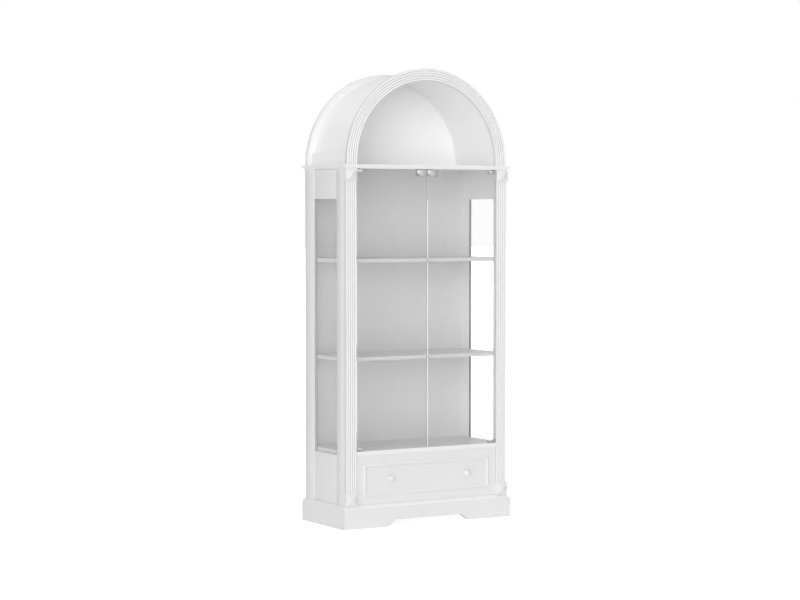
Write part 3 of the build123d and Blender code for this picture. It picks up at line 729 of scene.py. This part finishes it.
def add_block(mesh, low, high, edge):
    """Adds a box between two corners in millimetres, with all its edges rounded."""
    edges = add_box(mesh, Vector(low) * MM, Vector(high) * MM)
    round_edges(mesh, edges, edge, segments=2)


def add_turned(mesh, profile, centre, axis, steps):
    """Adds a solid turned about an axis through centre, from (radius, height) in millimetres."""
    earlier = set(mesh.verts)
    rim = [mesh.verts.new((radius * MM, 0.0, height * MM)) for radius, height in profile]
    edges = [mesh.edges.new(pair) for pair in zip(rim, rim[1:])]
    bmesh.ops.spin(
        mesh, geom=rim + edges, cent=(0, 0, 0), axis=(0, 0, 1), dvec=(0, 0, 0),
        angle=math.tau, steps=steps, use_merge=True, use_duplicate=False,
    )
    shell = [v for v in mesh.verts if v not in earlier]
    turn = Vector((0, 0, 1)).rotation_difference(Vector(axis)).to_matrix()
    bmesh.ops.rotate(mesh, cent=(0, 0, 0), matrix=turn, verts=shell)
    bmesh.ops.translate(mesh, vec=Vector(centre) * MM, verts=shell)


print("shaping helpers ready")

# %% [markdown]
# ## The moulding on the drawer
# The real drawer has a small raised moulding, cut from a planed strip with mitred corners. Such
# a frame could be four extruded strips, but insetting one rectangle again and again gives the
# mitres for free: each inset is one line of the strip's profile, and its depth lifts that line off
# the drawer. Here the profile is a short square edge, a swelling, a flat and a hollow.

# %% Profile of the moulding
MOULDING_STRIP = 18.0
MOULDING_RISE = 5.8
SQUARE_EDGE = 2.2
INNER_EDGE = SQUARE_EDGE * 0.6
SWELL = 7.0
TOP_FLAT = 3.0
HOLLOW = MOULDING_STRIP - SWELL - TOP_FLAT
PROFILE_STEPS = 8


def moulding_height(distance):
    """Height of the strip's profile at a distance from its outer edge, in millimetres."""
    if distance < SWELL:
        rise = math.sin(math.pi / 2 * distance / SWELL)
        return SQUARE_EDGE + (MOULDING_RISE - SQUARE_EDGE) * rise
    if distance < SWELL + TOP_FLAT:
        return MOULDING_RISE
    fall = (distance - SWELL - TOP_FLAT) / HOLLOW
    return INNER_EDGE + (MOULDING_RISE - INNER_EDGE) * (1 - math.sin(math.pi / 2 * fall))


stations = [SWELL * step / PROFILE_STEPS for step in range(PROFILE_STEPS + 1)]
stations += [SWELL + TOP_FLAT + HOLLOW * step / PROFILE_STEPS for step in range(PROFILE_STEPS + 1)]
print("lines of the profile:", [(round(s, 2), round(moulding_height(s), 2)) for s in stations])

# %% Drawer moulding
DRAWER_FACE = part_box("drawer_front")[0].y / MM
bead_low, bead_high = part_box("drawer_moulding")
bead_middle = (bead_low + bead_high) / 2

frame_mesh = bmesh.new()
sheet = bmesh.ops.create_grid(frame_mesh, x_segments=1, y_segments=1, size=0.5)["verts"]
upright = Matrix.Rotation(math.radians(90), 3, "X")
bmesh.ops.rotate(frame_mesh, cent=(0, 0, 0), matrix=upright, verts=sheet)
bead_size = (bead_high.x - bead_low.x, 1.0, bead_high.z - bead_low.z)
bmesh.ops.scale(frame_mesh, vec=bead_size, verts=sheet)
bmesh.ops.translate(frame_mesh, vec=(bead_middle.x, DRAWER_FACE * MM, bead_middle.z), verts=sheet)
underside = frame_mesh.faces[:]
lifted = bmesh.ops.extrude_face_region(frame_mesh, geom=underside)
panel = only(bmesh.types.BMFace, lifted)
first_lift = (0, -moulding_height(0.0) * MM, 0)
bmesh.ops.translate(frame_mesh, vec=first_lift, verts=only(bmesh.types.BMVert, lifted))
for before, station in zip(stations, stations[1:]):
    bmesh.ops.inset_region(
        frame_mesh, faces=panel, use_boundary=True, use_even_offset=True,
        thickness=(station - before) * MM,
        depth=(moulding_height(station) - moulding_height(before)) * MM,
    )
lifted = bmesh.ops.extrude_face_region(frame_mesh, geom=panel)
back_down = (0, moulding_height(stations[-1]) * MM, 0)
bmesh.ops.translate(frame_mesh, vec=back_down, verts=only(bmesh.types.BMVert, lifted))
inner = only(bmesh.types.BMFace, lifted)
spare = [f for f in dict.fromkeys(underside + panel + inner) if f.is_valid]
bmesh.ops.delete(frame_mesh, geom=spare, context="FACES")
open_edges = [e for e in frame_mesh.edges if e.is_boundary]
bmesh.ops.bridge_loops(frame_mesh, edges=open_edges)
finish_piece(
    frame_mesh, "drawer_moulding_fine", paint_moulded, "drawer",
    crease=38.0, stands_for=["drawer_moulding"],
)

# %% [markdown]
# ## The knobs
# A wooden knob is turned on a lathe, so it is one profile spun about an axis, which is also the
# simplest way to model it. The profile runs from the foot over the waisted neck to a mushroom head
# with a round rim and a low dome. Each part of it is one bow between two points: its start and its
# end as radius and height, how far it bulges to the side, and how many steps it takes.

# %% Knobs
KNOB_LENGTH = 31.0
KNOB_BOWS = {
    "foot": ((9.9, 0.0), (9.9, 3.2), -0.8, 6),
    "neck": ((8.9, 3.4), (8.8, 16.0), 2.6, 12),
    "flare": ((9.2, 16.2), (13.4, 19.2), 0.5, 5),
    "rim": ((13.6, 19.4), (13.2, 27.2), -2.5, 12),
    "dome": ((13.0, 27.4), (0.0, KNOB_LENGTH), -1.9, 12),
}


def bow(start, end, bulge, steps):
    """Points on a bow from start to end, in (radius, height); bulge is its sideways reach."""
    du, dv = end[0] - start[0], end[1] - start[1]
    length = math.hypot(du, dv)
    points = []
    for step in range(steps + 1):
        t = step / steps
        sway = bulge * math.sin(math.pi * t)
        radius, height = start[0] + du * t, start[1] + dv * t
        points.append((radius - dv / length * sway, height + du / length * sway))
    return points


def knob_profile():
    """Radius and height of the turned knob, from the middle of its foot to the top of its dome."""
    points = [(0.0, 0.0), KNOB_BOWS["foot"][0]]
    for part in KNOB_BOWS.values():
        points += bow(*part)
    return points[:-1] + [(0.0, KNOB_LENGTH)]


for side in ("left", "right"):
    node = "drawer_knob_" + side
    low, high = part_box(node)
    knob_mesh = bmesh.new()
    middle = (low + high) / 2 / MM
    add_turned(knob_mesh, knob_profile(), (middle.x, DRAWER_FACE, middle.z), (0, -1, 0), steps=64)
    finish_piece(
        knob_mesh, "turned_knob_" + side, paint_knob, "drawer", stands_for=[node],
    )

# %% [markdown]
# ## Clips and plates on the glass doors
# Frameless doors are held by small chromed clips that grip the glass between two leaves. The front
# leaf is crowned, so that it catches the light as a soft band. It is a box whose edges are rounded,
# which is then cut several times across its width and bent back along a bow. A thin grey pad keeps
# the metal off the glass. Two grub screws sit in the back leaf, where a real clip is tightened.

# %% Crowned leaves
LEAF_FRONT = 4.0
LEAF_CROWN = 2.2
LEAF_CUTS = 14
LEAF_EDGE = 0.8
PAD = 0.8


def add_leaf(mesh, low, high):
    """Adds a box between two corners in millimetres, with its front crowned across its width."""
    earlier = set(mesh.faces)
    low, high = Vector(low) * MM, Vector(high) * MM
    half_deep = (low.y + high.y) / 2
    edges = add_box(mesh, low, high)
    in_front = [e for e in edges if any(v.co.y < half_deep for v in e.verts)]
    round_edges(mesh, in_front, LEAF_EDGE, segments=3)
    region = [f for f in mesh.faces if f not in earlier]
    for cut in range(1, LEAF_CUTS):
        place = low.x + (high.x - low.x) * cut / LEAF_CUTS
        parts = dict.fromkeys(part for f in region for part in (f, *f.edges, *f.verts))
        sliced = bmesh.ops.bisect_plane(
            mesh, geom=list(parts), dist=WELD * MM, plane_co=(place, 0, 0), plane_no=(1, 0, 0),
        )
        region = only(bmesh.types.BMFace, sliced)
    middle, half = (low.x + high.x) / 2, (high.x - low.x) / 2
    for vert in {v for f in region for v in f.verts}:
        if vert.co.y < half_deep:
            vert.co.y += LEAF_CROWN * MM * ((vert.co.x - middle) / half) ** 2


print("a leaf is crowned by", LEAF_CROWN, "mm")

# %% Clips and plates
LEAF_BACK = 3.5
BACK_EDGE = 0.6
LEAF_WEB = 1.5
WEB_INSET = 0.5
WEB_GRIP = 1.0
WEB_EDGE = 0.3
CLIP_HEIGHT = 13.0
SCREW_SHARES = (0.28, 0.72)
SCREW_SINK = 0.1
# Radius and height: the rim of the head, its chamfer, and the floor of its socket
SCREW_PROFILE = [(0.0, 0.0), (2.0, 0.0), (2.0, 0.5), (1.7, 0.8), (1.0, 0.8), (1.0, 0.2), (0.0, 0.2)]


def clip_on_glass(name, node, glass_node, body, stretches):
    """A clip for each stretch of a node: crowned front leaf, back leaf, web and two screws."""
    glass_low, glass_high = in_mm(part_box(glass_node))
    low, high = in_mm(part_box(node))
    back = glass_high.y + LEAF_BACK
    mesh = bmesh.new()
    pads = bmesh.new()
    for z0, z1, web in stretches(low, high):
        add_leaf(mesh, (low.x, glass_low.y - LEAF_FRONT, z0), (high.x, glass_low.y - PAD, z1))
        pad_low = (low.x - PAD, glass_low.y - PAD, z0 - PAD)
        add_block(pads, pad_low, (high.x + PAD, glass_low.y, z1 + PAD), edge=PAD / 4)
        add_block(mesh, (low.x, glass_high.y, z0), (high.x, back, z1), edge=BACK_EDGE)
        web_low, web_high = (z0, z0 + LEAF_WEB) if web == "low" else (z1 - LEAF_WEB, z1)
        web_start = (low.x + WEB_INSET, glass_low.y - WEB_GRIP, web_low)
        web_end = (high.x - WEB_INSET, glass_high.y + WEB_GRIP, web_high)
        add_block(mesh, web_start, web_end, edge=WEB_EDGE)
        for share in SCREW_SHARES:
            screw_at = (low.x + (high.x - low.x) * share, back - SCREW_SINK, (z0 + z1) / 2)
            add_turned(mesh, SCREW_PROFILE, screw_at, (0, 1, 0), steps=16)
    finish_piece(pads, name + "_pads", seal_grey, body)
    finish_piece(mesh, name, chrome, body, stands_for=[node])


def both_ends(low, high):
    """The lowest and the highest stretch of a door, where its pivots are."""
    return [(low.z, low.z + CLIP_HEIGHT, "low"), (high.z - CLIP_HEIGHT, high.z, "high")]


def whole_height(low, high):
    """The height of a plate, as one stretch."""
    return [(low.z, high.z, "high")]


for side in ("left", "right"):
    pane, door = "door_glass_" + side, "door_" + side
    clip_on_glass("pivot_clips_" + side, "door_clips_" + side, pane, door, both_ends)
    clip_on_glass("magnet_plate_" + side, "door_plate_" + side, pane, door, whole_height)

# %% [markdown]
# ## Painted light at the edge between the doors
# Glass carries light along itself: what enters at a door's outer edge, beside the side window,
# leaves at its polished meeting edge. That is why the joint shows as a bright line, which is broken
# where a shelf stands before the window. A renderer stops following such light after a few
# reflections, so the edge is a thin rounded bar of its own whose colour is painted light: bright
# beside the windows and dull elsewhere.

# %% Painted light of the glass edge
# The bar's colour is painted light: bright within the window bays, duller elsewhere
EDGE_PAINTED_BRIGHT = 0.97
EDGE_PAINTED_DULL = 0.58
EDGE_SOFTNESS = 4.0
EDGE_HAZE = 0.06


def painted_edge_light(bays):
    """Painted light for a glass edge, bright within each bay from z0 to z1 in millimetres."""
    material, tree, bsdf = new_material("painted_edge_light")
    place = object_place(tree)
    along = coordinate(tree, place, "Z")
    inside = 0.0
    for z0, z1 in bays:
        half, middle = (z1 - z0) / 2 * MM, (z0 + z1) / 2 * MM
        away = math_node(tree, "ABSOLUTE", math_node(tree, "SUBTRACT", along, middle))
        full = half - EDGE_SOFTNESS * MM
        bay = add_node(
            tree, "ShaderNodeMapRange", "one bay", Value=away, From_Min=half, From_Max=full,
        )
        inside = math_node(tree, "MAXIMUM", inside, bay.outputs[0])
    haze = noise(tree, "haze", place, scale=120.0, detail=2.0)
    bright = math_node(tree, "MULTIPLY_ADD", inside, EDGE_PAINTED_BRIGHT - EDGE_PAINTED_DULL, EDGE_PAINTED_DULL)
    tone = math_node(tree, "MULTIPLY", bright, mottled(tree, haze, EDGE_HAZE))
    shade = add_node(tree, "ShaderNodeCombineColor", "edge tone", i0=tone, i1=tone, i2=tone)
    fill(tree, bsdf, Base_Color=shade.outputs[0], Roughness=0.25)
    return material


window_low, window_high = in_mm(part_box("glazing_stops"))
lower_low, lower_high = in_mm(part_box("shelf_lower"))
upper_low, upper_high = in_mm(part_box("shelf_upper"))
window_bays = [
    (window_low.z, lower_low.z),
    (lower_high.z, upper_low.z),
    (upper_high.z, window_high.z),
]
print("bright between heights", [[round(z, 1) for z in bay] for bay in window_bays])

# %% Bar that carries the painted light of the glass edge
STRIP_WIDE = 2.8
STRIP_DEEP = 6.4
STRIP_EDGE = 0.5
STRIP_ON_PANE = 1.9
GAP_BELOW = 0.5
GAP_TO_PLATE = 1.0

right_glass_low, right_glass_high = in_mm(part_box("door_glass_right"))
plate_low = in_mm(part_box("door_plate_right"))[0]
strip_y = (right_glass_low.y + right_glass_high.y) / 2
strip_right = right_glass_low.x + STRIP_ON_PANE
strip_mesh = bmesh.new()
add_block(
    strip_mesh,
    (strip_right - STRIP_WIDE, strip_y - STRIP_DEEP / 2, right_glass_low.z + GAP_BELOW),
    (strip_right, strip_y + STRIP_DEEP / 2, plate_low.z - GAP_TO_PLATE),
    edge=STRIP_EDGE,
)
finish_piece(strip_mesh, "painted_edge_light", painted_edge_light(window_bays), "door_right")

# %% [markdown]
# ## The tongue above the frieze
# The frieze panel ends a little below the top board, which leaves a fine shadow line. On the real
# cabinet a tongue holds the panel there and keeps dust out. It is one bar a side, set back from the
# panel's face so that the line stays dark.

# %% Frieze tongues
TONGUE_SETBACK = 3.5
TONGUE_EDGE = 0.3

tongue_mesh = bmesh.new()
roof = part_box("top_board")[0].z / MM
for side in ("left", "right"):
    panel_low, panel_high = in_mm(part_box("frieze_panel_" + side))
    if side == "left":
        x0, x1 = panel_low.x + TONGUE_SETBACK, panel_high.x
    else:
        x0, x1 = panel_low.x, panel_high.x - TONGUE_SETBACK
    tongue_low, tongue_high = (x0, panel_low.y, panel_high.z), (x1, panel_high.y, roof)
    add_block(tongue_mesh, tongue_low, tongue_high, edge=TONGUE_EDGE)
finish_piece(tongue_mesh, "frieze_tongues", paint_frame, "cabinet")

# %% [markdown]
# ## Small fixings
# The back panel is pinned to the cabinet all round its edge, with small round heads. Each head is
# a tiny turned dome with a dimple. Two loops set them out at equal steps, one up the sides and one
# along the top and the bottom.

# %% Pins of the back panel
PIN_HEAD = 3.0
DOME_RISE = 0.42
DIMPLE_RADIUS = 0.16
DIMPLE_FLOOR = 0.3
DOME_STEPS = 5
PIN_MARGIN = 7.0
PIN_ROWS = 11
PIN_COLUMNS = 5


def add_pin_head(mesh, place, radius):
    """Adds a low domed head with a dimple, which stands on the back panel."""
    arc = [math.pi / 2 * step / DOME_STEPS for step in range(DOME_STEPS, 0, -1)]
    dome = [(radius * math.sin(a), radius * DOME_RISE * math.cos(a)) for a in arc]
    dimple = [(radius * DIMPLE_RADIUS, radius * DOME_RISE), (0.0, radius * DIMPLE_FLOOR)]
    add_turned(mesh, [(0.0, 0.0)] + dome + dimple, place, (0, 1, 0), steps=12)


back_low, back_high = in_mm(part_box("back_panel"))
left, right = back_low.x + PIN_MARGIN, back_high.x - PIN_MARGIN
bottom, top = back_low.z + PIN_MARGIN, back_high.z - PIN_MARGIN
pins_mesh = bmesh.new()
for row in range(PIN_ROWS):
    z = bottom + (top - bottom) * row / (PIN_ROWS - 1)
    for x in (left, right):
        add_pin_head(pins_mesh, (x, back_high.y, z), PIN_HEAD)
for column in range(1, PIN_COLUMNS):
    x = left + (right - left) * column / PIN_COLUMNS
    for z in (bottom, top):
        add_pin_head(pins_mesh, (x, back_high.y, z), PIN_HEAD)
finish_piece(pins_mesh, "back_panel_pins", zinc, "cabinet")

# %% [markdown]
# ## The studio
# A pale floor, an even white surround and five large soft lamps. The floor glows where the camera
# sees it, directly or through glass, so that it looks white and still takes the cabinet's shadow.
# The surround lights the cabinet at a plain level, while the camera, mirrors and glass see it as
# pure white.


# %% Floor
FLOOR_SIZE = 120.0
FLOOR_GREY = (0.86, 0.86, 0.86, 1.0)
FLOOR_GLOW = 0.86
PURE_WHITE = (1.0, 1.0, 1.0, 1.0)


def flat_sheet(name, wide, deep):
    """A flat sheet for the studio, lying around the origin."""
    mesh = bmesh.new()
    corners = bmesh.ops.create_grid(mesh, x_segments=1, y_segments=1, size=0.5)["verts"]
    bmesh.ops.scale(mesh, vec=(wide, deep, 1.0), verts=corners)
    data = bpy.data.meshes.new(name)
    mesh.to_mesh(data)
    mesh.free()
    sheet = bpy.data.objects.new(name, data)
    bpy.context.scene.collection.objects.link(sheet)
    return sheet


def floor_material():
    """Pale floor that looks white to the camera, but keeps a soft shadow."""
    material, tree, bsdf = new_material("floor_white")
    fill(tree, bsdf, Base_Color=FLOOR_GREY, Roughness=0.9, Specular_IOR_Level=0.1)
    path = add_node(tree, "ShaderNodeLightPath").outputs
    seen = math_node(tree, "MAXIMUM", path["Is Camera Ray"], path["Is Transmission Ray"])
    strength = math_node(tree, "MULTIPLY", seen, FLOOR_GLOW)
    glow = add_node(tree, "ShaderNodeEmission", Color=PURE_WHITE, Strength=strength)
    both = add_node(tree, "ShaderNodeAddShader", i0=bsdf.outputs[0], i1=glow.outputs[0])
    fill(tree, tree.nodes["Material Output"], Surface=both.outputs[0])
    return material


floor = flat_sheet("studio_floor", FLOOR_SIZE, FLOOR_SIZE)
floor.data.materials.append(floor_material())
print("floor", FLOOR_SIZE, "m wide")

# %% Surround
SURROUND_LIGHT = 0.42

world = bpy.data.worlds.new("studio_surround")
bpy.context.scene.world = world
world.use_nodes = True
sky = world.node_tree
sky.nodes.clear()
path = add_node(sky, "ShaderNodeLightPath").outputs
mirrored = math_node(sky, "MAXIMUM", path["Is Glossy Ray"], path["Is Transmission Ray"])
seen = math_node(sky, "MAXIMUM", path["Is Camera Ray"], mirrored)
strength = math_node(sky, "MULTIPLY_ADD", seen, 1.0 - SURROUND_LIGHT, SURROUND_LIGHT)
air = add_node(sky, "ShaderNodeBackground", Color=PURE_WHITE, Strength=strength)
add_node(sky, "ShaderNodeOutputWorld", Surface=air.outputs[0])
print("the surround lights with", SURROUND_LIGHT, "and looks white")

# %% [markdown]
# ## The lamps
# The light comes mostly from the front left. Some comes from further round to the left, a little
# from the front right, some from above, and some back up from the floor. A distant sun lamp lights
# everything at the same level, and a wide angle makes its shadows as soft as a large window's. The
# lamp for the light from the floor shines from below it, so the floor casts no shadow.

# %% Soft lamps
LAMP_SOFTNESS = 50.0
# Degrees left of the front, degrees up, and strength
LAMPS = {
    "key_lamp": (35.0, 5.0, 1.50),
    "side_lamp": (60.0, 0.0, 0.57),
    "far_side_lamp": (-30.0, 5.0, 0.14),
    "top_lamp": (0.0, 80.0, 0.69),
    "floor_bounce": (45.0, -25.0, 0.56),
}


def soft_lamp(name, azimuth, elevation, strength):
    """A distant soft lamp, turned left of the front by its azimuth, in degrees."""
    data = bpy.data.lights.new(name, "SUN")
    data.energy = strength
    data.angle = math.radians(LAMP_SOFTNESS)
    lamp = bpy.data.objects.new(name, data)
    bpy.context.scene.collection.objects.link(lamp)
    around = math.radians(azimuth)
    up = math.radians(elevation)
    level = math.cos(up)
    source = Vector((-math.sin(around) * level, -math.cos(around) * level, math.sin(up)))
    lamp.rotation_euler = source.to_track_quat("Z", "Y").to_euler()


for name, (azimuth, elevation, strength) in LAMPS.items():
    soft_lamp(name, azimuth, elevation, strength)
    print(name, azimuth, "degrees left of the front,", elevation, "degrees up, strength", strength)
floor.visible_shadow = False

# %% [markdown]
# ## Dark cards
# Chrome only looks like metal when it mirrors something darker than the room, so photographers set
# a dark card beside the lamp. One stands at the front right and fades from light to dark. Another
# stands behind on the left, so that the side pane doesn't mirror the white room. Only mirror
# reflections see them.

# %% Dark cards
CARD_WIDE = 4.0
CARD_HIGH = 3.4
CARD_DISTANCE = 3.5


def dark_card(name, azimuth, near_edge, far_edge):
    """A standing card, turned right of the front by azimuth; it fades from one glow to another."""
    around = math.radians(azimuth)
    card = flat_sheet(name, CARD_WIDE, CARD_HIGH)
    x, y = math.sin(around) * CARD_DISTANCE, -math.cos(around) * CARD_DISTANCE
    card.location = (x, y, CARD_HIGH / 2)
    card.rotation_euler = (math.radians(90), 0.0, around)
    finish, tree, _ = new_material(name + "_fade")
    across = coordinate(tree, object_place(tree), "X")
    slope = (far_edge - near_edge) / CARD_WIDE
    fade = math_node(tree, "MULTIPLY_ADD", across, slope, (near_edge + far_edge) / 2)
    glow = add_node(tree, "ShaderNodeEmission", Color=PURE_WHITE, Strength=fade)
    fill(tree, tree.nodes["Material Output"], Surface=glow.outputs[0])
    card.data.materials.append(finish)
    for ray in ("camera", "diffuse", "transmission", "volume_scatter", "shadow"):
        setattr(card, "visible_" + ray, False)
    print(name, azimuth, "degrees right of the front, glow", near_edge, "to", far_edge)


dark_card("front_card", azimuth=52.0, near_edge=1.0, far_edge=0.0)
dark_card("rear_card", azimuth=215.0, near_edge=0.3, far_edge=0.3)

# %% [markdown]
# ## The camera
# The camera's place, its turn and its lens were worked out from the cabinet's straight edges, so
# that a render can be laid over the reference picture. The Standard view transform leaves colours
# as they are.

# %% Camera
SENSOR_WIDTH = 36.0
LENS = 98.08
CAMERA_PLACE = (-5.2798, -8.6608, 1.4489)
LOOKS_DOWN = 2.408
TURNED_RIGHT = 31.1654

camera_data = bpy.data.cameras.new("camera")
camera_data.sensor_width = SENSOR_WIDTH
camera_data.lens = LENS
camera_data.clip_end = 100.0
camera = bpy.data.objects.new("camera", camera_data)
camera.location = CAMERA_PLACE
camera.rotation_euler = (math.radians(90 - LOOKS_DOWN), 0.0, math.radians(-TURNED_RIGHT))
bpy.context.scene.collection.objects.link(camera)
bpy.context.scene.camera = camera
bpy.context.scene.view_settings.view_transform = "Standard"
print("camera at", CAMERA_PLACE, "with a lens of", LENS, "mm")
